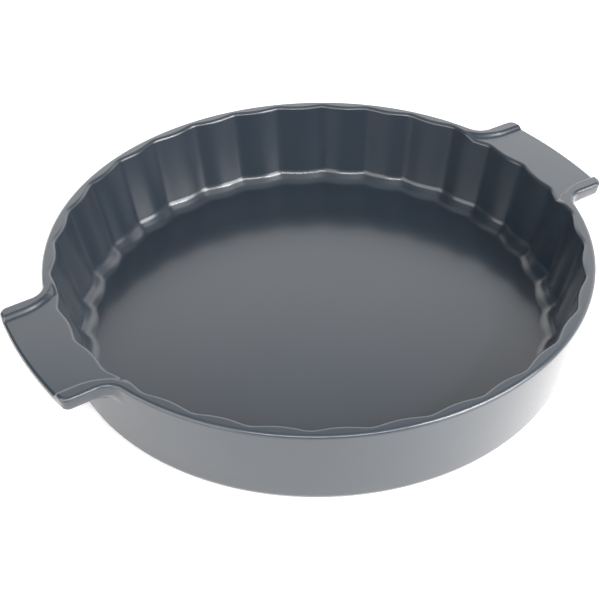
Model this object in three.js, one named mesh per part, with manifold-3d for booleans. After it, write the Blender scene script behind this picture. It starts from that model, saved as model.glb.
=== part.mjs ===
// Round fluted baking dish in glazed stoneware, with two flat handles that grow out of its rim.
// Millimetres, +Z up. The origin is on the table under the middle of the dish; the handles lie along X.
import * as THREE from "three";
import { mergeVertices } from "three/addons/utils/BufferGeometryUtils.js";
import Module from "manifold-3d";

const { degToRad, clamp, lerp, smoothstep } = THREE.MathUtils;

// Bowl, outside
const rimRadius = 150;
const dishHeight = 53.8;
const outerDraft = degToRad(9.4);
const bottomRounding = 6.4;

// Foot under the base
const footHeight = 1.2;
const footInset = 15.3;
const footWidth = 7;
const footEdge = 0.4;

// Floor, and the sloped cove where it turns up into the wall
const floorThickness = 5.1;
const coveRise = 4.4;
const coveSlope = degToRad(40);
const coveEdge = 1.8;

// Flutes on the inner wall: narrow outward valleys between broad lobes
const fluteCount = 32;
const fluteDepth = 2;
const valleyCrease = 0.3;
const valleyWall = 5.4;
const innerDraft = degToRad(12.7);

// Rim edges
const outerEdge = 1.9;
const innerEdge = 2.2;

// Handles: a sunk plate between two ridges that carry the rim on to the handle's end
const handleReach = 22.6;
const handleWidth = 83;
const handleBlend = 10;
const handleCorner = 5;
const handleEndRadius = 260;
const handleThickness = 8.6;
const handleFall = 0.2;
const plateDrop = 2.3;
const ridgeWidth = 11.5;
const ridgeFlank = 6;
const ridgeTurn = 26;
const underEdge = 2;
const underFall = 1;
const rootFillet = 4.5;
const seatDepth = 1.5;
const seatGap = 0.2;
const seatSpread = 0.93;

// Steps round each curve
const fluteSteps = 8;
const footSteps = 64;
const edgeSteps = 2;
const heelSteps = 3;
const plateSteps = 18;
const flankSteps = 5;
const crestSteps = 3;
const cornerSteps = 4;
const sideSteps = 4;
const blendSteps = 6;
const rimSteps = 3;
const topSteps = 6;
const weldDistance = 1e-4;

// Levels and slopes that follow from the sizes above
const floorTop = footHeight + floorThickness;
const coveTop = floorTop + coveRise + coveEdge / 2;
const outerSlope = Math.tan(outerDraft);
const baseRadius = rimRadius - outerSlope * (dishHeight - footHeight);
const footRadius = baseRadius - footInset;
const underside = dishHeight - handleFall - handleThickness;
const handleSeat = underside - underFall - rootFillet - seatDepth;

const outerRadius = (z) => rimRadius - outerSlope * (dishHeight - z);
const valleyRadius = (z) => rimRadius - valleyWall - Math.tan(innerDraft) * (dishHeight - z);

// Share of the flute depth at an angle: 0 in a valley, 1 on the crown of a lobe.
function fluteWave(angle) {
  const swing = Math.sin((angle * fluteCount) / 2);
  const crown = Math.hypot(1, valleyCrease) - valleyCrease;
  return (Math.hypot(swing, valleyCrease) - valleyCrease) / crown;
}

const flutedRadius = (angle, z) => valleyRadius(z) - fluteDepth * fluteWave(angle);

// Points of the arc that rounds a corner between two straight lines.
function roundedCorner(from, corner, to, radius, steps) {
  const back = from.clone().sub(corner).normalize();
  const ahead = to.clone().sub(corner).normalize();
  const half = Math.acos(back.dot(ahead)) / 2;
  const inward = back.clone().add(ahead).normalize();
  const centre = inward.multiplyScalar(radius / Math.sin(half)).add(corner);
  const start = back.multiplyScalar(radius / Math.tan(half)).add(corner).sub(centre);
  const end = ahead.multiplyScalar(radius / Math.tan(half)).add(corner).sub(centre);
  const clockwise = start.cross(end) < 0;
  const arc = new THREE.EllipseCurve(
    centre.x, centre.y, radius, radius, start.angle(), end.angle(), clockwise,
  );
  return arc.getPoints(steps);
}

const wasm = await Module();
wasm.setup();

function solidOf(geometry) {
  const bare = geometry.clone();
  bare.deleteAttribute("normal");
  bare.deleteAttribute("uv");
  const merged = mergeVertices(bare, weldDistance);
  return new wasm.Manifold(
    new wasm.Mesh({
      numProp: 3,
      vertProperties: merged.attributes.position.array,
      triVerts: new Uint32Array(merged.index.array),
    }),
  );
}

function geometryOf(solid) {
  const mesh = solid.getMesh();
  const geometry = new THREE.BufferGeometry();
  geometry.setAttribute("position", new THREE.BufferAttribute(mesh.vertProperties, mesh.numProp));
  geometry.setIndex(new THREE.BufferAttribute(mesh.triVerts, 1));
  geometry.computeVertexNormals();
  return geometry;
}

// Turns a profile of radius and height about Z, and presses the flutes into its fluted points.
function flutedLathe(profile) {
  const points = profile.map((p) => new THREE.Vector2(p.radius, p.height));
  const turned = new THREE.LatheGeometry(points, fluteCount * fluteSteps);
  turned.rotateX(Math.PI / 2);
  const place = turned.attributes.position;
  for (let i = 0; i < place.count; i++) {
    const { radius, height, fluted } = profile[i % profile.length];
    const angle = Math.atan2(place.getY(i), place.getX(i));
    const pressed = fluted ? radius - fluteDepth * fluteWave(angle) : radius;
    place.setXYZ(i, pressed * Math.cos(angle), pressed * Math.sin(angle), height);
  }
  return turned;
}

const ring = (fluted) => (point) => ({ radius: point.x, height: point.y, fluted });
const smooth = ring(false);
const fluted = ring(true);

// Floor with the cove up to the wall's seat, and the rounded edge underneath.
function dishFloor() {
  const middle = new THREE.Vector2(0, floorTop);
  const innerFoot = new THREE.Vector2(valleyRadius(coveTop), coveTop);
  const coveFoot = new THREE.Vector2(valleyRadius(floorTop + coveRise), floorTop + coveRise);
  const coveToe = new THREE.Vector2(coveFoot.x - coveRise / Math.tan(coveSlope), floorTop);
  const heel = roundedCorner(
    new THREE.Vector2(0, footHeight),
    new THREE.Vector2(baseRadius, footHeight),
    new THREE.Vector2(rimRadius, dishHeight),
    bottomRounding,
    heelSteps,
  );
  return flutedLathe([
    smooth(new THREE.Vector2(0, footHeight)),
    ...heel.map(smooth),
    smooth(new THREE.Vector2(outerRadius(coveTop), coveTop)),
    fluted(innerFoot),
    ...roundedCorner(innerFoot, coveFoot, coveToe, coveEdge, edgeSteps).map(fluted),
    ...roundedCorner(coveFoot, coveToe, middle, coveEdge, edgeSteps).map(fluted),
    smooth(middle),
  ]);
}

// Wall from its seat on the floor up to the rim, with a notch for each handle.
function flutedWall() {
  const innerFoot = new THREE.Vector2(valleyRadius(coveTop), coveTop);
  const outerFoot = new THREE.Vector2(outerRadius(coveTop), coveTop);
  const innerTop = new THREE.Vector2(valleyRadius(dishHeight), dishHeight);
  const outerTop = new THREE.Vector2(rimRadius, dishHeight);
  const profile = [
    smooth(outerFoot),
    ...roundedCorner(outerFoot, outerTop, innerTop, outerEdge, edgeSteps).map(smooth),
    ...roundedCorner(outerTop, innerTop, innerFoot, innerEdge, edgeSteps).map(fluted),
    fluted(innerFoot),
    smooth(outerFoot),
  ];
  return [1, -1].reduce(
    (wall, side) => wall.subtract(solidOf(notch(side))),
    solidOf(flutedLathe(profile)),
  );
}

// Handle outline in plan, from one end of its stretch of rim to the other, for the handle at +X.
const sideLine = handleWidth / 2;
const tip = rimRadius + handleReach;
const endCentre = tip - handleEndRadius;
const blend = new THREE.Vector2(
  Math.sqrt((rimRadius + handleBlend) ** 2 - (sideLine + handleBlend) ** 2),
  sideLine + handleBlend,
);
const corner = new THREE.Vector2(
  endCentre + Math.sqrt((handleEndRadius - handleCorner) ** 2 - (sideLine - handleCorner) ** 2),
  sideLine - handleCorner,
);
const flutePitch = (2 * Math.PI) / fluteCount;
const stretch = Math.ceil(blend.angle() / flutePitch) * flutePitch;

// Plate edge: the foot of the ridge, straight along the handle and turned into the rim's inner edge.
const plateEdge = sideLine - ridgeWidth;
const turnRing = valleyRadius(dishHeight) - fluteDepth - ridgeFlank + ridgeTurn;
const turn = new THREE.Vector2(
  Math.sqrt(turnRing ** 2 - (plateEdge + ridgeTurn) ** 2),
  plateEdge + ridgeTurn,
);

// Height of the upper face at a plan point: rim and ridges at full height, the plate sunk between them.
function upperFace(point) {
  const across = new THREE.Vector2(point.x, Math.abs(point.y));
  const beyondTurn = across.angle() > turn.angle();
  const onTurn = across.x < turn.x && !beyondTurn;
  const ridgeDepth = onTurn ? ridgeTurn - across.distanceTo(turn) : across.y - plateEdge;
  const raised = beyondTurn && across.x < turn.x ? 1 : smoothstep(ridgeDepth, 0, ridgeFlank);
  const out = clamp((across.length() - rimRadius) / handleReach, 0, 1);
  return dishHeight - handleFall * out ** 2 - plateDrop * (1 - raised);
}

// Plan points of the outline. Each has the direction that faces out of the dish and its seat: the angle
// on the rim's inner edge that its section runs back to. Sections run nearly straight back along the ridge.
function handleOutline() {
  const stretches = [];
  const add = (curve, steps, seat) => stretches.push({ curve, steps, seat });
  const arc = (x, y, radius, start, end, clockwise) =>
    new THREE.EllipseCurve(x, y, radius, radius, start, end, clockwise);
  const endArc = (from, to) =>
    arc(endCentre, 0, handleEndRadius, Math.asin(from / handleEndRadius), Math.asin(to / handleEndRadius));
  const back = (y) => Math.asin(y / (valleyRadius(dishHeight) - fluteDepth));
  const straightBack = (share, at) => back(seatSpread * at.y);
  const between = (from, to) => (share) => lerp(from, to, share);
  const crestLine = plateEdge + ridgeFlank;
  const endLine = (corner.y * handleEndRadius) / (handleEndRadius - handleCorner);
  const sideSeat = back(seatSpread * sideLine);
  const blendSeat = back(sideLine - outerEdge);
  add(endArc(0, plateEdge), plateSteps / 2, straightBack);
  add(endArc(plateEdge, crestLine), flankSteps, straightBack);
  add(endArc(crestLine, endLine), crestSteps, straightBack);
  const cornerStart = Math.asin(endLine / handleEndRadius);
  add(arc(corner.x, corner.y, handleCorner, cornerStart, Math.PI / 2), cornerSteps, straightBack);
  const side = new THREE.LineCurve(
    new THREE.Vector2(corner.x, sideLine),
    new THREE.Vector2(blend.x, sideLine),
  );
  add(side, sideSteps, between(sideSeat, blendSeat));
  const blendEnd = blend.angle() - Math.PI;
  const blendArc = arc(blend.x, blend.y, handleBlend, -Math.PI / 2, blendEnd, true);
  add(blendArc, blendSteps, between(blendSeat, blend.angle()));
  add(arc(0, 0, rimRadius, blend.angle(), stretch), rimSteps, between(blend.angle(), stretch));
  const upper = stretches.flatMap(({ curve, steps, seat }, part) =>
    Array.from({ length: steps + 1 }, (_, i) => {
      const at = curve.getPoint(i / steps);
      const along = curve.getTangent(i / steps);
      return { at, out: new THREE.Vector2(along.y, -along.x), seat: seat(i / steps, at) };
    }).slice(part ? 1 : 0),
  );
  const flip = (v) => new THREE.Vector2(v.x, -v.y);
  const mirrored = ({ at, out, seat }) => ({ at: flip(at), out: flip(out), seat: -seat });
  return [...upper.slice(1).reverse().map(mirrored), ...upper];
}

// Cross-section of a handle at one point of its outline, as a closed loop of points in space.
function handleSection({ at, out, seat }) {
  const ray = at.clone().normalize();
  const seatRay = new THREE.Vector2(Math.cos(seat), Math.sin(seat));
  const overhang = Math.max(0, at.length() - rimRadius);
  const section = [];
  const put = (plan, z) => section.push(new THREE.Vector3(plan.x, plan.y, z));
  const onRay = (radius) => ray.clone().multiplyScalar(radius);
  const onSeat = (radius) => seatRay.clone().multiplyScalar(radius);
  const inFrom = (distance) => at.clone().addScaledVector(out, -distance);

  // Fluted inside, up over its rounded edge
  const innerFoot = new THREE.Vector2(flutedRadius(seat, handleSeat), handleSeat);
  const innerLevel = upperFace(onSeat(flutedRadius(seat, dishHeight)));
  const innerTop = new THREE.Vector2(flutedRadius(seat, innerLevel), innerLevel);
  const outward = new THREE.Vector2(rimRadius, innerLevel);
  const lip = roundedCorner(innerFoot, innerTop, outward, innerEdge, edgeSteps);
  put(onSeat(innerFoot.x), innerFoot.y);
  lip.forEach((p) => put(onSeat(p.x), p.y));

  // Upper face, out to the rounded outer edge
  const atTop = new THREE.Vector2(0, 0);
  const downSide = new THREE.Vector2(outerSlope, -1);
  const edge = roundedCorner(new THREE.Vector2(1, 0), atTop, downSide, outerEdge, edgeSteps);
  const shoulder = inFrom(edge[0].x);
  const lipEnd = onSeat(lip.at(-1).x);
  for (let i = 1; i < topSteps; i++) {
    const between = lipEnd.clone().lerp(shoulder, i / topSteps);
    put(between, upperFace(between));
  }
  const level = upperFace(shoulder);
  edge.forEach((p) => put(inFrom(p.x), level + p.y));

  // Down the side, round the lower edge, back under the handle and into the wall
  const tuck = Math.min(underEdge, overhang / 2);
  const root = Math.min(rootFillet, overhang / 2);
  for (let i = 0; i <= edgeSteps; i++) {
    const bend = ((i / edgeSteps) * Math.PI) / 2;
    const z = underside + underEdge * (1 - Math.sin(bend));
    put(inFrom(outerSlope * (dishHeight - z) + tuck * (1 - Math.cos(bend))), z);
  }
  for (let i = 0; i <= edgeSteps; i++) {
    const bend = ((i / edgeSteps) * Math.PI) / 2;
    const z = underside - underFall - rootFillet * (1 - Math.cos(bend));
    put(onRay(outerRadius(z) + root * (1 - Math.sin(bend))), z);
  }
  put(onRay(outerRadius(handleSeat)), handleSeat);
  return section;
}

// Skins a row of closed sections, with a flat cap on each end.
function skin(sections) {
  const around = sections[0].length;
  const faces = [];
  for (let i = 0; i + 1 < sections.length; i++) {
    for (let j = 0; j < around; j++) {
      const k = (j + 1) % around;
      const [a, b] = [i * around + j, i * around + k];
      faces.push(a, b, a + around, b, b + around, a + around);
    }
  }
  const flat = sections[0].map((p) => new THREE.Vector2(Math.hypot(p.x, p.y), p.z));
  const last = (sections.length - 1) * around;
  THREE.ShapeUtils.triangulateShape(flat, []).forEach(([a, b, c]) => {
    faces.push(a, b, c, last + a, last + c, last + b);
  });
  const geometry = new THREE.BufferGeometry().setFromPoints(sections.flat());
  geometry.setIndex(faces);
  geometry.computeVertexNormals();
  return geometry;
}

const handle = () => skin(handleOutline().map(handleSection));

// Notch in the wall that takes a handle's stretch of rim, for the handle at +X or -X.
function notch(side) {
  const [near, far] = [rimRadius / 2, 2 * rimRadius];
  const edgePoint = (radius, turned) =>
    new THREE.Vector2(side * radius, 0)
      .rotateAround(new THREE.Vector2(), side * turned * stretch)
      .add(new THREE.Vector2(0, turned * seatGap));
  const wedge = new THREE.Shape([
    edgePoint(near, -1), edgePoint(far, -1), edgePoint(far, 1), edgePoint(near, 1),
  ]);
  const cutter = new THREE.ExtrudeGeometry(wedge, { depth: dishHeight, bevelEnabled: false });
  return cutter.translate(0, 0, handleSeat);
}

// Unglazed ring that the dish stands on, its edges eased.
function footRing() {
  const inner = footRadius - footWidth;
  const points = [
    new THREE.Vector2(inner, footHeight),
    new THREE.Vector2(inner, footEdge),
    new THREE.Vector2(inner + footEdge, 0),
    new THREE.Vector2(footRadius - footEdge, 0),
    new THREE.Vector2(footRadius, footEdge),
    new THREE.Vector2(footRadius, footHeight),
    new THREE.Vector2(inner, footHeight),
  ];
  return new THREE.LatheGeometry(points, footSteps).rotateX(Math.PI / 2);
}

const glaze = new THREE.MeshStandardMaterial({ color: 0x46515b, roughness: 0.4, metalness: 0 });
const bareClay = new THREE.MeshStandardMaterial({ color: 0xcbbfae, roughness: 0.9, metalness: 0 });

const dish = new THREE.Group();

function addPiece(name, geometry, material) {
  const piece = new THREE.Mesh(geometry, material);
  piece.name = name;
  dish.add(piece);
  return piece;
}

addPiece("foot_ring", footRing(), bareClay);
addPiece("dish_floor", dishFloor(), glaze);
addPiece("fluted_wall", geometryOf(flutedWall()), glaze);
addPiece("handle_right", handle(), glaze);
addPiece("handle_left", handle(), glaze).rotation.z = Math.PI;

export default dish;
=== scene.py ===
"""Round baking dish in slate-glazed stoneware.

It is fluted inside and plain outside, with two flat handles on its rim. Sizes are in millimetres
and become metres where a mesh is made. The frame's axes hold: +Z is up and the handles lie
along X.
"""

import math
from collections import namedtuple

import bmesh
import bpy
import numpy as np
from mathutils import Matrix, Vector


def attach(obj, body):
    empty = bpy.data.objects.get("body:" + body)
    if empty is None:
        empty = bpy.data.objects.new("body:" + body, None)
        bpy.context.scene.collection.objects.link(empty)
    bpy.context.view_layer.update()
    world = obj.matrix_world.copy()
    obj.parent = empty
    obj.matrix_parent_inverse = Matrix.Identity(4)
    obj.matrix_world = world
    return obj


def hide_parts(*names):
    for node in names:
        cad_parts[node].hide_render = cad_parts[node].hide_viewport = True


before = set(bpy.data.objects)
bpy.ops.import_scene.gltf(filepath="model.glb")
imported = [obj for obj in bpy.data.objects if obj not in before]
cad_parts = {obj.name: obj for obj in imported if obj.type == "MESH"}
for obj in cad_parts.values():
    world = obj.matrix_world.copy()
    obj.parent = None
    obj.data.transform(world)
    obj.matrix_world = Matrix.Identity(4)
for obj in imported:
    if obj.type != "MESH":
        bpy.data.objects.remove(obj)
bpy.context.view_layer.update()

MM = 0.001

# Bowl and foot
RIM_RADIUS = 150.0
DISH_HEIGHT = 53.8
OUTER_SLOPE = math.tan(math.radians(9.4))
BOTTOM_ROUNDING = 6.4
FOOT_HEIGHT = 1.2
FOOT_INSET = 15.3
FOOT_WIDTH = 7.0
FOOT_EDGE = 0.4
FLOOR_THICKNESS = 5.1
FLOOR_TOP = FOOT_HEIGHT + FLOOR_THICKNESS
COVE_RISE = 5.4
COVE_SLOPE = math.radians(44.6)
COVE_HOLLOW = 7.0
COVE_TOE = 8.0

# Flutes, wall and rim edges
FLUTE_COUNT = 32
FLUTE_DEPTH = 2.0
VALLEY_CREASE = 0.3
VALLEY_WALL = 5.4
INNER_DRAFT = math.radians(12.7)
OUTER_EDGE = 1.9
INNER_EDGE = 2.2

# Handles
HANDLE_REACH = 22.6
HANDLE_SIDE = 41.5
HANDLE_BLEND = 10.0
HANDLE_CORNER = 5.0
HANDLE_END_RADIUS = 260.0
HANDLE_FALL = 0.2
HANDLE_THICKNESS = 8.6
UNDERSIDE = DISH_HEIGHT - HANDLE_FALL - HANDLE_THICKNESS
PLATE_DROP = 2.3
RIDGE_WIDTH = 10.1
PLATE_EDGE = HANDLE_SIDE - RIDGE_WIDTH
RIDGE_FLANK = 3.3
RIDGE_TURN = 26.0
UNDER_EDGE = 2.0
UNDER_FALL = 1.0
ROOT_FILLET = 4.5
SHELF_REACH = 24.0
SEAT_MARGIN = 1.5
HANDLE_SEAT = UNDERSIDE - UNDER_FALL - ROOT_FILLET - SEAT_MARGIN
SEAT_SPREAD = 0.93

# How finely the clay is drawn
COLUMNS_PER_FLUTE = 24
EDGE_STEPS = 10
RIM_TOP_STEPS = 6
PLATE_STEPS = 48
PLATE_STATIONS = 40
RIDGE_STATIONS = 28
CORNER_STATIONS = 16
SIDE_STATIONS = 24
RIM_STATIONS = 14
FOOT_COLUMNS = 256
SEAM = 0.05
BESIDE_EDGE = 0.4
WELD = 1e-4
SHARP_ANGLE = math.radians(50)

FLUTE_PITCH = math.tau / FLUTE_COUNT
COVE_TOP = FLOOR_TOP + COVE_RISE + COVE_HOLLOW / 3


def outer_radius(height):
    return RIM_RADIUS - OUTER_SLOPE * (DISH_HEIGHT - height)


def valley_radius(height):
    return RIM_RADIUS - VALLEY_WALL - math.tan(INNER_DRAFT) * (DISH_HEIGHT - height)


CROWN_RADIUS = valley_radius(DISH_HEIGHT) - FLUTE_DEPTH
LIP_RADIUS = valley_radius(DISH_HEIGHT) + INNER_EDGE * math.tan(math.pi / 4 - INNER_DRAFT / 2)
BASE_RADIUS = outer_radius(FOOT_HEIGHT)

# One row of a profile: its plan radius and height, the share of a flute's depth that is pressed
# into it, and how far the glaze drew back from it in the kiln.
Row = namedtuple("Row", "radius height share thin")


def eased(steps):
    """Shares from 0 to 1 that crowd towards both ends, for a smooth run into the neighbours."""
    return (1 - np.cos(np.linspace(0, math.pi, steps + 1))) / 2


def smooth(share):
    """A share held between 0 and 1 that starts and ends gently."""
    share = min(max(share, 0), 1)
    return share * share * (3 - 2 * share)


def rounded_corner(before, corner, after, radius, steps=EDGE_STEPS):
    """The arc that rounds a corner between two straight lines.

    Gives its points, each with how near it is to the arc's middle.
    """
    corner = Vector(corner)
    back = (Vector(before) - corner).normalized()
    ahead = (Vector(after) - corner).normalized()
    half = back.angle(ahead) / 2
    inward = (back + ahead).normalized()
    across = (ahead - back).normalized()
    centre = corner + inward * (radius / math.sin(half))
    sweep = math.pi / 2 - half
    arc = []
    for share in eased(steps):
        turn = (2 * share - 1) * sweep
        point = centre + radius * (math.sin(turn) * across - math.cos(turn) * inward)
        arc.append((point, math.sin(share * math.pi)))
    return arc


def edge_rows(before, corner, after, radius, share):
    arc = rounded_corner(before, corner, after, radius)
    return [Row(point.x, point.y, share, middle) for point, middle in arc]


# The turned profiles, from outside to inside


def wall_rows():
    """Wall from its seat on the floor, up the outside, over the rim and down the inside."""
    foot_out = (outer_radius(COVE_TOP), COVE_TOP)
    foot_in = (valley_radius(COVE_TOP), COVE_TOP)
    top_out = (RIM_RADIUS, DISH_HEIGHT)
    top_in = (valley_radius(DISH_HEIGHT), DISH_HEIGHT)
    outer = edge_rows(foot_out, top_out, top_in, OUTER_EDGE, share=0)
    inner = edge_rows(top_out, top_in, foot_in, INNER_EDGE, share=1)
    shoulder, lip = outer[-1], inner[0]
    top = [Row(shoulder.radius + (lip.radius - shoulder.radius) * t, DISH_HEIGHT, t, 0)
           for t in np.linspace(0, 1, RIM_TOP_STEPS + 1)[1:-1]]
    below_out = outer[0].height - BESIDE_EDGE
    below_in = inner[-1].height - BESIDE_EDGE
    return [
        Row(*foot_out, 0, 0),
        Row(outer_radius(HANDLE_SEAT), HANDLE_SEAT, 0, 0),
        Row(outer_radius(below_out), below_out, 0, 0),
        *outer,
        *top,
        *inner,
        Row(valley_radius(below_in), below_in, 1, 0),
        Row(valley_radius(HANDLE_SEAT), HANDLE_SEAT, 1, 0),
        Row(*foot_in, 1, 0),
    ]


def notch_rows():
    """The wall's rows under a handle: all that stands above the seat is laid flat on it."""
    inside, outside = valley_radius(HANDLE_SEAT), outer_radius(HANDLE_SEAT)
    rows = []
    for row in wall_rows():
        if row.height > HANDLE_SEAT:
            share = row.share if row.radius < outside else 0
            row = Row(min(max(row.radius, inside), outside), HANDLE_SEAT, share, 0)
        rows.append(row)
    return rows


def floor_rows():
    """Floor from the middle underneath, round the bottom edge, over the seat and down the cove."""
    heel = edge_rows(
        (0, FOOT_HEIGHT), (BASE_RADIUS, FOOT_HEIGHT), (RIM_RADIUS, DISH_HEIGHT),
        BOTTOM_ROUNDING, share=0,
    )
    corner = FLOOR_TOP + COVE_RISE
    foot_in = (valley_radius(COVE_TOP), COVE_TOP)
    cove_foot = (valley_radius(corner), corner)
    cove_toe = (cove_foot[0] - COVE_RISE / math.tan(COVE_SLOPE), FLOOR_TOP)
    upper = edge_rows(foot_in, cove_foot, cove_toe, COVE_HOLLOW, share=1)
    lower = edge_rows(cove_foot, cove_toe, (0, FLOOR_TOP), COVE_TOE, share=1)
    rows = [
        Row(0, FOOT_HEIGHT, 0, 0),
        Row(heel[0].radius - BESIDE_EDGE, FOOT_HEIGHT, 0, 0),
        *heel,
        Row(outer_radius(COVE_TOP - SEAM), COVE_TOP - SEAM, 0, 0),
        Row(outer_radius(COVE_TOP), COVE_TOP, 0, 0),
        Row(*foot_in, 1, 0),
        Row(valley_radius(COVE_TOP - SEAM), COVE_TOP - SEAM, 1, 0),
        *upper,
        *lower,
        Row(lower[-1].radius - BESIDE_EDGE, FLOOR_TOP, 1, 0),
        Row(0, FLOOR_TOP, 0, 0),
    ]
    return [row._replace(thin=0) for row in rows]


def foot_rows():
    """Ring under the floor, its two lower edges eased."""
    outside = BASE_RADIUS - FOOT_INSET
    inside = outside - FOOT_WIDTH
    middle = (inside + outside) / 2
    return [
        Row(inside, FOOT_HEIGHT, 0, 0),
        *edge_rows((inside, FOOT_HEIGHT), (inside, 0), (middle, 0), FOOT_EDGE, share=0),
        *edge_rows((middle, 0), (outside, 0), (outside, FOOT_HEIGHT), FOOT_EDGE, share=0),
        Row(outside, FOOT_HEIGHT, 0, 0),
    ]


# The handle: sections set along its outline in plan, drawn for the handle at +X

BLEND = Vector((
    math.sqrt((RIM_RADIUS + HANDLE_BLEND) ** 2 - (HANDLE_SIDE + HANDLE_BLEND) ** 2),
    HANDLE_SIDE + HANDLE_BLEND,
))
BLEND_ANGLE = math.atan2(BLEND.y, BLEND.x)
STRETCH = math.ceil(BLEND_ANGLE / FLUTE_PITCH) * FLUTE_PITCH
END_CENTRE = RIM_RADIUS + HANDLE_REACH - HANDLE_END_RADIUS
CORNER_Y = HANDLE_SIDE - HANDLE_CORNER
CORNER = Vector((
    END_CENTRE + math.sqrt((HANDLE_END_RADIUS - HANDLE_CORNER) ** 2 - CORNER_Y**2),
    CORNER_Y,
))
END_Y = CORNER_Y * HANDLE_END_RADIUS / (HANDLE_END_RADIUS - HANDLE_CORNER)

# Where the foot of a ridge turns away along the rim's inner edge
TURN_Y = PLATE_EDGE + RIDGE_TURN
TURN = Vector((
    math.sqrt((LIP_RADIUS - RIDGE_FLANK + RIDGE_TURN) ** 2 - TURN_Y**2),
    TURN_Y,
))
TURN_ANGLE = math.atan2(TURN.y, TURN.x)

Station = namedtuple("Station", "at out seat")


def upper_face(plan):
    """Height of a handle's upper face: rim and ridges at full height, the plate sunk between."""
    across = Vector((plan.x, abs(plan.y)))
    beyond_turn = math.atan2(across.y, across.x) > TURN_ANGLE
    if across.x < TURN.x:
        depth = RIDGE_FLANK if beyond_turn else RIDGE_TURN - (across - TURN).length
    else:
        depth = across.y - PLATE_EDGE
    raised = smooth(depth / RIDGE_FLANK)
    out = min(max((across.length - RIM_RADIUS) / HANDLE_REACH, 0), 1)
    return DISH_HEIGHT - HANDLE_FALL * out**2 - PLATE_DROP * (1 - raised)


def seat_angle(y):
    """Angle on the rim's inner edge of a section that runs straight back from y."""
    return math.asin(y / CROWN_RADIUS)


def half_outline():
    """Stations from the middle of the handle's end, round one corner, along its stretch of rim."""
    stations = []

    def on_arc(centre, radius, angle, seat, outward=1):
        out = Vector((math.cos(angle), math.sin(angle)))
        stations.append(Station(Vector(centre) + radius * out, outward * out, seat))

    plate = np.linspace(0, PLATE_EDGE - RIDGE_FLANK, PLATE_STATIONS)
    ridge = np.linspace(PLATE_EDGE - RIDGE_FLANK, END_Y, RIDGE_STATIONS)
    for y in np.append(plate[:-1], ridge):
        angle = math.asin(y / HANDLE_END_RADIUS)
        on_arc((END_CENTRE, 0), HANDLE_END_RADIUS, angle, seat_angle(SEAT_SPREAD * y))
    start = math.asin(END_Y / HANDLE_END_RADIUS)
    for angle in np.linspace(start, math.pi / 2, CORNER_STATIONS)[1:]:
        y = CORNER.y + HANDLE_CORNER * math.sin(angle)
        on_arc(CORNER, HANDLE_CORNER, angle, seat_angle(SEAT_SPREAD * y))
    side_seat = seat_angle(SEAT_SPREAD * HANDLE_SIDE)
    blend_seat = seat_angle(HANDLE_SIDE - OUTER_EDGE)
    for t in np.linspace(0, 1, SIDE_STATIONS)[1:]:
        at = Vector((CORNER.x + (BLEND.x - CORNER.x) * t, HANDLE_SIDE))
        stations.append(Station(at, Vector((0, 1)), side_seat + (blend_seat - side_seat) * t))
    for t in np.linspace(0, 1, SIDE_STATIONS)[1:]:
        angle = -math.pi / 2 + (BLEND_ANGLE - math.pi / 2) * t
        on_arc(BLEND, HANDLE_BLEND, angle, blend_seat + (BLEND_ANGLE - blend_seat) * t, outward=-1)
    seam = SEAM / RIM_RADIUS
    rim = np.linspace(BLEND_ANGLE, STRETCH, RIM_STATIONS)[1:-1]
    for angle in (*rim, STRETCH - seam, STRETCH):
        on_arc((0, 0), RIM_RADIUS, angle, angle)
    return stations


def handle_section(station):
    """Closed loop of a handle at one station: rows of (x, y, z, share, thin)."""
    at, out, seat = station
    ray = at.normalized()
    seat_ray = Vector((math.cos(seat), math.sin(seat)))
    overhang = max(0, at.length - RIM_RADIUS)
    rows = []

    def put(plan, height, share=0, thin=0):
        rows.append((plan.x, plan.y, height, share, thin))

    level = upper_face(seat_ray * LIP_RADIUS)
    foot_in = (valley_radius(HANDLE_SEAT), HANDLE_SEAT)
    lip = rounded_corner(foot_in, (valley_radius(level), level), (RIM_RADIUS, level), INNER_EDGE)
    below = lip[0][0].y - BESIDE_EDGE
    put(seat_ray * foot_in[0], HANDLE_SEAT, share=1)
    put(seat_ray * valley_radius(below), below, share=1)
    for point, middle in lip:
        put(seat_ray * point.x, point.y, share=1, thin=middle)

    edge = rounded_corner((1, 0), (0, 0), (OUTER_SLOPE, -1), OUTER_EDGE)
    shoulder = at - out * edge[0][0].x
    lip_end = seat_ray * lip[-1][0].x
    for t in np.linspace(0, 1, PLATE_STEPS + 1)[1:-1]:
        plan = lip_end.lerp(shoulder, t)
        put(plan, upper_face(plan), share=1 - t)
    top = upper_face(shoulder)
    for point, middle in edge:
        put(at - out * point.x, top + point.y, thin=middle)

    # Below, a shelf with a rounded edge and a fillet. Where the handle still grows out of the wall,
    # the shelf is only a soft swell.
    tuck = min(UNDER_EDGE, overhang / 2)
    root = min(ROOT_FILLET, overhang / 2)
    high, low = UNDERSIDE + UNDER_EDGE, UNDERSIDE - UNDER_FALL - ROOT_FILLET
    bends = eased(EDGE_STEPS) * math.pi / 2
    shelf = []
    for bend in bends:
        height = high - UNDER_EDGE * math.sin(bend)
        inset = OUTER_SLOPE * (DISH_HEIGHT - height) + tuck * (1 - math.cos(bend))
        shelf.append((at - out * inset, height))
    for bend in bends:
        height = low + ROOT_FILLET * math.cos(bend)
        shelf.append((ray * (outer_radius(height) + root * (1 - math.sin(bend))), height))
    grown = smooth(overhang / SHELF_REACH)
    for (plan, height), t in zip(shelf, np.linspace(0, 1, len(shelf))):
        swell = high + (low - high) * t
        side = at - out * (OUTER_SLOPE * (DISH_HEIGHT - swell))
        soft = side.lerp(ray * outer_radius(swell), math.sin(t * math.pi / 2))
        put(soft.lerp(plan, grown), swell + (height - swell) * grown)
    put(ray * outer_radius(HANDLE_SEAT), HANDLE_SEAT)
    return rows


# From rows and columns to meshes


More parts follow.
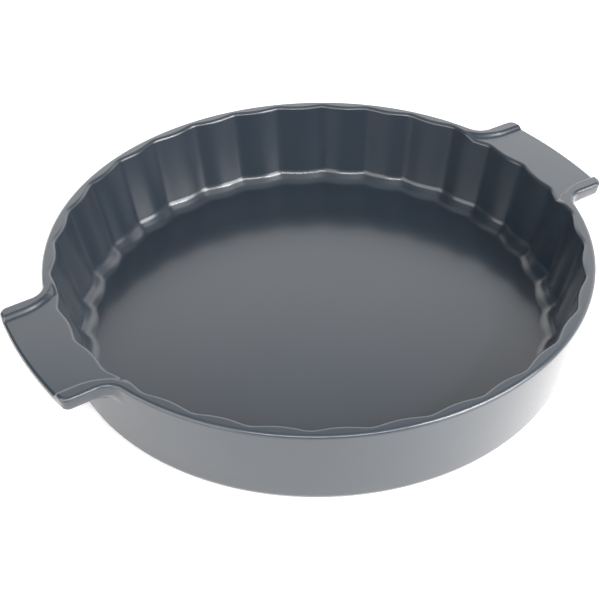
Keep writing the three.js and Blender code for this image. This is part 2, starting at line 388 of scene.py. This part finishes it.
def clay_sheet(name, columns, angles, around=True, poles=False, capped=False):
    """Skins columns of rows (x, y, z, share, thin) into one closed body, still without its flutes.

    Every point keeps the angle at which its flute is pressed, and its share of the depth.
    """
    columns = np.asarray(columns, dtype=float)
    count, rows = columns.shape[:2]
    index = np.arange(count * rows).reshape(count, rows)
    if around:
        index = np.append(index, index[:1], axis=0)
    looped = index if poles else np.append(index, index[:, :1], axis=1)
    faces = np.stack((looped[:-1, :-1], looped[1:, :-1], looped[1:, 1:], looped[:-1, 1:]), axis=-1)
    faces = faces.reshape(-1, 4).tolist()
    if capped:
        faces += [index[0].tolist(), index[-1][::-1].tolist()]
    points = columns.reshape(-1, columns.shape[2])
    mesh = bpy.data.meshes.new(name)
    mesh.from_pydata((points[:, :3] * MM).tolist(), [], faces)
    for label, values in (
        ("flute_angle", np.repeat(angles, rows)),
        ("flute_share", points[:, 3]),
        ("thin_glaze", points[:, 4]),
    ):
        mesh.attributes.new(label, "FLOAT", "POINT").data.foreach_set("value", values)
    clay = bmesh.new()
    clay.from_mesh(mesh)
    bmesh.ops.remove_doubles(clay, verts=clay.verts, dist=WELD * MM)
    loose = [edge for edge in clay.edges if not edge.link_faces]
    bmesh.ops.delete(clay, geom=loose, context="EDGES")
    bmesh.ops.recalc_face_normals(clay, faces=clay.faces)
    clay.to_mesh(mesh)
    clay.free()
    piece = bpy.data.objects.new(name, mesh)
    bpy.context.collection.objects.link(piece)
    return piece


def turned(row, angle):
    x, y = row.radius * math.cos(angle), row.radius * math.sin(angle)
    return (x, y, row.height, row.share, row.thin)


def turned_body(name, rows, count, poles=False):
    angles = np.linspace(0, math.tau, count, endpoint=False)
    columns = [[turned(row, angle) for row in rows] for angle in angles]
    return clay_sheet(name, columns, angles, poles=poles)


def wall_body():
    """The wall all round, stepped down to a flat seat over each handle's stretch."""
    step = FLUTE_PITCH / COLUMNS_PER_FLUTE
    seam = SEAM / RIM_RADIUS
    columns, angles = [], []
    for side in (0, math.pi):
        gap = math.pi - 2 * STRETCH
        for start, width, rows in (
            (side - STRETCH, 2 * STRETCH, notch_rows()), (side + STRETCH, gap, wall_rows()),
        ):
            inner = np.arange(1, round(width / step)) * step
            for angle in start + np.concatenate(([0, seam], inner, [width - seam, width])):
                columns.append([turned(row, angle) for row in rows])
                angles.append(angle)
    return clay_sheet("glazed_wall", columns, angles)


def handle_body(name, turn):
    half = half_outline()
    mirrored = [
        Station(Vector((s.at.x, -s.at.y)), Vector((s.out.x, -s.out.y)), -s.seat) for s in half[1:]
    ]
    stations = mirrored[::-1] + half
    columns = np.array([handle_section(station) for station in stations])
    columns[..., :2] = columns[..., :2] @ np.array(Matrix.Rotation(turn, 2)).T
    return clay_sheet(name, columns, [s.seat + turn for s in stations], around=False, capped=True)


# Node trees


def add_node(tree, kind, links=None, **settings):
    """Adds one node with its settings and links.

    A socket takes a value, another socket or a node's first output.
    """
    node = tree.nodes.new(kind)
    for key, value in settings.items():
        setattr(node, key, value)
    for socket, value in (links or {}).items():
        if isinstance(value, bpy.types.Node):
            value = value.outputs[0]
        if isinstance(value, bpy.types.NodeSocket):
            tree.links.new(value, node.inputs[socket])
        else:
            node.inputs[socket].default_value = value
    return node


def flute_press():
    """Node tree that presses the flutes into a body: broad lobes, parted by narrow valleys."""
    tree = bpy.data.node_groups.new("flute_press", "GeometryNodeTree")
    for name, kind in (
        ("Geometry", "NodeSocketGeometry"),
        ("Flute Count", "NodeSocketFloat"),
        ("Flute Depth", "NodeSocketFloat"),
        ("Valley Crease", "NodeSocketFloat"),
        ("Glaze", "NodeSocketMaterial"),
    ):
        tree.interface.new_socket(name, in_out="INPUT", socket_type=kind)
    tree.interface.new_socket("Geometry", in_out="OUTPUT", socket_type="NodeSocketGeometry")
    given = add_node(tree, "NodeGroupInput").outputs
    angle, share = (
        add_node(tree, "GeometryNodeInputNamedAttribute", {"Name": name}, data_type="FLOAT")
        for name in ("flute_angle", "flute_share")
    )

    # A sine whose sharp zero is rounded off by the crease, so that it is lowest in the valleys
    turns = add_node(tree, "ShaderNodeMath", {
        0: angle, 1: given["Flute Count"],
    }, operation="MULTIPLY")
    half_turns = add_node(tree, "ShaderNodeMath", {0: turns, 1: 0.5}, operation="MULTIPLY")
    swing = add_node(tree, "ShaderNodeMath", {0: half_turns}, operation="SINE")
    bend = add_node(tree, "ShaderNodeCombineXYZ", {"X": swing, "Y": given["Valley Crease"]})
    crown = add_node(tree, "ShaderNodeCombineXYZ", {"X": 1.0, "Y": given["Valley Crease"]})
    bend_size = add_node(tree, "ShaderNodeVectorMath", {0: bend}, operation="LENGTH")
    crown_size = add_node(tree, "ShaderNodeVectorMath", {0: crown}, operation="LENGTH")
    depth = add_node(tree, "ShaderNodeMapRange", {
        "Value": bend_size.outputs["Value"],
        "From Min": given["Valley Crease"],
        "From Max": crown_size.outputs["Value"],
        "To Max": given["Flute Depth"],
    })

    # Pressed in towards the axis, along the ray of the point's own flute
    pressed = add_node(tree, "ShaderNodeMath", {0: depth, 1: share}, operation="MULTIPLY")
    inward = add_node(tree, "ShaderNodeMath", {0: pressed, 1: -1.0}, operation="MULTIPLY")
    along = add_node(tree, "ShaderNodeCombineXYZ", {"X": inward})
    move = add_node(tree, "ShaderNodeVectorRotate", {
        "Vector": along, "Angle": angle,
    }, rotation_type="Z_AXIS")
    moved = add_node(tree, "GeometryNodeSetPosition", {
        "Geometry": given["Geometry"], "Offset": move,
    })
    real = add_node(tree, "GeometryNodeRealizeInstances", {"Geometry": moved})
    glazed = add_node(tree, "GeometryNodeSetMaterial", {
        "Geometry": real, "Material": given["Glaze"],
    })
    add_node(tree, "NodeGroupOutput", {"Geometry": glazed})
    return tree


def press_flutes(piece, tree, glaze):
    """Runs the press on one body and keeps the result as its plain mesh."""
    press = piece.modifiers.new("flutes", "NODES")
    press.node_group = tree
    sizes = {
        "Flute Count": float(FLUTE_COUNT),
        "Flute Depth": FLUTE_DEPTH * MM,
        "Valley Crease": VALLEY_CREASE,
        "Glaze": glaze,
    }
    for socket in tree.interface.items_tree:
        if socket.in_out == "INPUT" and socket.name in sizes:
            press[socket.identifier] = sizes[socket.name]
    evaluated = piece.evaluated_get(bpy.context.evaluated_depsgraph_get())
    fluted = bpy.data.meshes.new_from_object(evaluated)
    piece.modifiers.clear()
    piece.data = fluted


def finish_piece(piece, node):
    """Soft shading but for the hidden seats' sharp edges, and the piece's place in the frame."""
    piece.data.shade_smooth()
    piece.data.set_sharp_from_angle(angle=SHARP_ANGLE)
    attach(piece, "root")
    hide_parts(node)


# Materials


def linear(hex_colour):
    """An sRGB hex colour as linear red, green, blue and alpha."""
    channels = [int(hex_colour[i:i + 2], 16) / 255 for i in (1, 3, 5)]
    return (*[c / 12.92 if c <= 0.04045 else ((c + 0.055) / 1.055) ** 2.4 for c in channels], 1)


def per_size(millimetres):
    """Texture scale, in features per metre, for features of that size."""
    return 1 / (millimetres * MM)


def new_material(name):
    """An empty material: its tree, its shader and its Object coordinates."""
    material = bpy.data.materials.new(name)
    material.use_nodes = True
    tree = material.node_tree
    tree.nodes.clear()
    shader = add_node(tree, "ShaderNodeBsdfPrincipled")
    add_node(tree, "ShaderNodeOutputMaterial", {"Surface": shader})
    return material, tree, shader, add_node(tree, "ShaderNodeTexCoord").outputs["Object"]


def satin_slate_glaze():
    """Feldspar glaze with a slate stain, fired to a satin.

    It gives the eye soft reflections with a weaker, clearer one over them, and a fine, even grain.
    The stain pools a little unevenly over a hand's width, and the glaze draws thin and slightly
    pale on rounded edges.
    """
    material, tree, shader, place = new_material("satin_slate_glaze")
    cloud = add_node(tree, "ShaderNodeTexNoise", {
        "Vector": place, "Scale": per_size(60), "Detail": 3.0,
    })
    grain = add_node(tree, "ShaderNodeTexNoise", {
        "Vector": place, "Scale": per_size(0.7), "Detail": 2.0,
    })
    pooled = add_node(tree, "ShaderNodeMix", {
        0: cloud.outputs["Fac"], 6: linear("#1f2730"), 7: linear("#252d36"),
    }, data_type="RGBA")
    thin = add_node(tree, "ShaderNodeAttribute", attribute_name="thin_glaze").outputs["Fac"]
    thinning = add_node(tree, "ShaderNodeMath", {0: thin, 1: 0.06}, operation="MULTIPLY")
    colour = add_node(tree, "ShaderNodeMix", {
        0: thinning, 6: pooled.outputs[2], 7: linear("#6d7378"),
    }, data_type="RGBA")
    roughness = add_node(tree, "ShaderNodeMapRange", {
        "Value": grain.outputs["Fac"],
        "From Min": 0.3,
        "From Max": 0.7,
        "To Min": 0.28,
        "To Max": 0.36,
    })
    skin = add_node(tree, "ShaderNodeBump", {
        "Height": grain.outputs["Fac"], "Strength": 0.05, "Distance": 0.005 * MM,
    })
    for socket, value in (
        ("Base Color", colour.outputs[2]),
        ("Roughness", roughness.outputs[0]),
        ("Normal", skin.outputs[0]),
    ):
        tree.links.new(value, shader.inputs[socket])
    shader.inputs["IOR"].default_value = 1.52
    shader.inputs["Coat Weight"].default_value = 0.5
    shader.inputs["Coat Roughness"].default_value = 0.15
    return material


def bare_stoneware():
    """Unglazed stoneware, wiped clean for the kiln shelf: dry, pale buff, with fine iron specks."""
    material, tree, shader, place = new_material("bare_stoneware")
    grog = add_node(tree, "ShaderNodeTexNoise", {
        "Vector": place, "Scale": per_size(0.9), "Detail": 4.0,
    })
    cloud = add_node(tree, "ShaderNodeTexNoise", {
        "Vector": place, "Scale": per_size(30), "Detail": 2.0,
    })
    body = add_node(tree, "ShaderNodeMix", {
        0: cloud.outputs["Fac"], 6: linear("#bfb09c"), 7: linear("#cfc2b0"),
    }, data_type="RGBA")
    specks = add_node(tree, "ShaderNodeMapRange", {
        "Value": grog.outputs["Fac"], "From Min": 0.6, "From Max": 0.72, "To Max": 0.6,
    })
    colour = add_node(tree, "ShaderNodeMix", {
        0: specks.outputs[0], 6: body.outputs[2], 7: linear("#7d6a55"),
    }, data_type="RGBA")
    grit = add_node(tree, "ShaderNodeBump", {
        "Height": grog.outputs["Fac"], "Strength": 0.5, "Distance": 0.08 * MM,
    })
    tree.links.new(colour.outputs[2], shader.inputs["Base Color"])
    tree.links.new(grit.outputs[0], shader.inputs["Normal"])
    shader.inputs["Roughness"].default_value = 0.85
    return material


glaze = satin_slate_glaze()
clay = bare_stoneware()
press = flute_press()

floor_columns = FLUTE_COUNT * COLUMNS_PER_FLUTE
floor_piece = turned_body("glazed_floor", floor_rows(), floor_columns, poles=True)
wall_piece = wall_body()
right_piece = handle_body("glazed_handle_right", 0)
left_piece = handle_body("glazed_handle_left", math.pi)
for piece, node in (
    (floor_piece, "dish_floor"),
    (wall_piece, "fluted_wall"),
    (right_piece, "handle_right"),
    (left_piece, "handle_left"),
):
    press_flutes(piece, press, glaze)
    finish_piece(piece, node)

foot_piece = turned_body("clay_foot_ring", foot_rows(), FOOT_COLUMNS)
foot_piece.data.materials.append(clay)
finish_piece(foot_piece, "foot_ring")

# Studio: a white table, a bright wall behind it, a dim ceiling, a softbox on either side and two
# strips over the camera

TABLE_SIDE = 8.0
TABLE_WHITE = "#f2f2f2"
TABLE_GLOW_TINT = "#fff3e6"
TABLE_SEEN_GLOW = 0.3

# The table glows more towards one side, and most beyond the other. Spans are in metres along the
# line between them.
TABLE_BRIGHT_SIDE = (0.77, -0.64, 0)
TABLE_GLOW = (0.1, 0.5)
TABLE_GLOW_SPAN = (-0.1, 0.25)
TABLE_FAR_GLOW = (0.0, 2.0)
TABLE_FAR_SPAN = (-0.22, -0.36)

# Heights in the room are elevations in degrees, over which a level changes softly
WALL_LEVEL = 2.2
WALL_LOW_SHARE = 0.8
WALL_FOOT = (20, 30)
WALL_TOP = (37, 49)
WALL_SIDE = math.radians(45)
WALL_SPREAD = (0.3, 0.68)
CEILING_LEVEL = 0.6
CEILING_FOOT = (48, 60)
LAMP_DISTANCE = 1.3


def white_table():
    mesh = bpy.data.meshes.new("table")
    half = TABLE_SIDE / 2
    corners = [(-half, -half, 0), (half, -half, 0), (half, half, 0), (-half, half, 0)]
    mesh.from_pydata(corners, [], [(0, 1, 2, 3)])
    material, tree, shader, place = new_material("white_table")
    shader.inputs["Base Color"].default_value = linear(TABLE_WHITE)
    shader.inputs["Roughness"].default_value = 0.8
    across = add_node(tree, "ShaderNodeVectorMath", {
        0: place, 1: TABLE_BRIGHT_SIDE,
    }, operation="DOT_PRODUCT")
    near_glow, far_glow = (
        add_node(tree, "ShaderNodeMapRange", {
            "Value": across.outputs["Value"],
            "From Min": start,
            "From Max": end,
            "To Min": low,
            "To Max": high,
        })
        for (start, end), (low, high) in (
            (TABLE_GLOW_SPAN, TABLE_GLOW), (TABLE_FAR_SPAN, TABLE_FAR_GLOW),
        )
    )
    lit = add_node(tree, "ShaderNodeMath", {0: near_glow, 1: far_glow}, operation="ADD")

    # To the camera, the table is plain white
    seen = add_node(tree, "ShaderNodeLightPath").outputs["Is Camera Ray"]
    glow = add_node(tree, "ShaderNodeMapRange", {
        "Value": seen, "To Min": lit, "To Max": TABLE_SEEN_GLOW,
    })
    # Painted light: the table is no lamp, yet it glows warm onto the dish and shows in its
    # reflections; the camera sees that glow white.
    glow_tint = add_node(tree, "ShaderNodeMix", {
        0: seen, 6: linear(TABLE_GLOW_TINT), 7: linear("#ffffff"),
    }, data_type="RGBA")
    tree.links.new(glow_tint.outputs[2], shader.inputs["Emission Color"])
    tree.links.new(glow.outputs[0], shader.inputs["Emission Strength"])
    mesh.materials.append(material)
    table = bpy.data.objects.new("table", mesh)
    bpy.context.collection.objects.link(table)


def room():
    """Light from the room: a wall behind the table, brightest a little above it, and a ceiling.

    To the camera, the room is plain white.
    """
    world = bpy.data.worlds.new("room")
    bpy.context.scene.world = world
    world.use_nodes = True
    tree = world.node_tree
    tree.nodes.clear()
    direction = add_node(tree, "ShaderNodeTexCoord").outputs["Generated"]
    height = add_node(tree, "ShaderNodeSeparateXYZ", {0: direction}).outputs["Z"]

    foot, top, ceiling = (
        add_node(tree, "ShaderNodeMapRange", {
            "Value": height,
            "From Min": math.sin(math.radians(start)),
            "From Max": math.sin(math.radians(end)),
            "To Min": low,
            "To Max": high,
        }, interpolation_type="SMOOTHSTEP")
        for (start, end), (low, high) in (
            (WALL_FOOT, (WALL_LOW_SHARE * WALL_LEVEL, WALL_LEVEL)),
            (WALL_TOP, (1, 0)),
            (CEILING_FOOT, (0, CEILING_LEVEL)),
        )
    )
    facing = add_node(tree, "ShaderNodeVectorMath", {
        0: direction, 1: (math.cos(WALL_SIDE), math.sin(WALL_SIDE), 0),
    }, operation="DOT_PRODUCT")
    side = add_node(tree, "ShaderNodeMapRange", {
        "Value": facing.outputs["Value"], "From Min": WALL_SPREAD[0], "From Max": WALL_SPREAD[1],
    }, interpolation_type="SMOOTHSTEP")
    band = add_node(tree, "ShaderNodeMath", {0: foot, 1: top}, operation="MULTIPLY")
    level = add_node(tree, "ShaderNodeMath", {
        0: band, 1: side, 2: ceiling,
    }, operation="MULTIPLY_ADD")
    light = add_node(tree, "ShaderNodeBackground", {"Color": (1, 1, 1, 1), "Strength": level})
    white = add_node(tree, "ShaderNodeBackground", {"Color": (1, 1, 1, 1), "Strength": 1.0})
    seen = add_node(tree, "ShaderNodeLightPath").outputs["Is Camera Ray"]
    mixed = add_node(tree, "ShaderNodeMixShader", {0: seen, 1: light, 2: white})
    add_node(tree, "ShaderNodeOutputWorld", {"Surface": mixed})


def softbox(name, azimuth, elevation, width, height, power):
    """Lamp with a flat oblong front, turned to the dish."""
    lamp = bpy.data.lights.new(name, "AREA")
    lamp.shape = "RECTANGLE"
    lamp.size = width
    lamp.size_y = height
    lamp.energy = power
    box = bpy.data.objects.new(name, lamp)
    bpy.context.collection.objects.link(box)
    round_dish = Matrix.Rotation(math.radians(azimuth + 90), 4, "Z")
    upward = Matrix.Rotation(math.radians(90 - elevation), 4, "X")
    box.matrix_world = round_dish @ upward @ Matrix.Translation((0, 0, LAMP_DISTANCE))


# Camera where the photograph was taken from

CAMERA_AZIMUTH = math.radians(-31.04)
CAMERA_ELEVATION = math.radians(39.15)
CAMERA_ROLL = -0.02256
CAMERA_DISTANCE = 716.2
CAMERA_TARGET = Vector((-13.48, -2.36, 20.18))
CAMERA_LENS = 77.07


def photo_camera():
    lens = bpy.data.cameras.new("camera")
    lens.lens = CAMERA_LENS
    lens.sensor_width = 36.0
    camera = bpy.data.objects.new("camera", lens)
    bpy.context.collection.objects.link(camera)
    round_dish = Matrix.Rotation(CAMERA_AZIMUTH, 4, "Z")
    upward = Matrix.Rotation(math.pi / 2 - CAMERA_ELEVATION, 4, "X")
    turn = round_dish @ upward
    back = turn.to_3x3() @ Vector((0, 0, 1))
    place = (CAMERA_TARGET + CAMERA_DISTANCE * back) * MM
    camera.matrix_world = Matrix.Translation(place) @ turn @ Matrix.Rotation(CAMERA_ROLL, 4, "Z")
    bpy.context.scene.camera = camera


white_table()
room()
softbox("right", azimuth=-60, elevation=25, width=0.9, height=0.7, power=18.7)
softbox("left", azimuth=186, elevation=24, width=1.2, height=0.9, power=11.3)
softbox("front", azimuth=-121, elevation=42, width=1.0, height=0.1, power=11.0)
softbox("front_right", azimuth=-70, elevation=42, width=0.6, height=0.1, power=9.6)
photo_camera()
bpy.context.scene.view_settings.view_transform = "Standard"
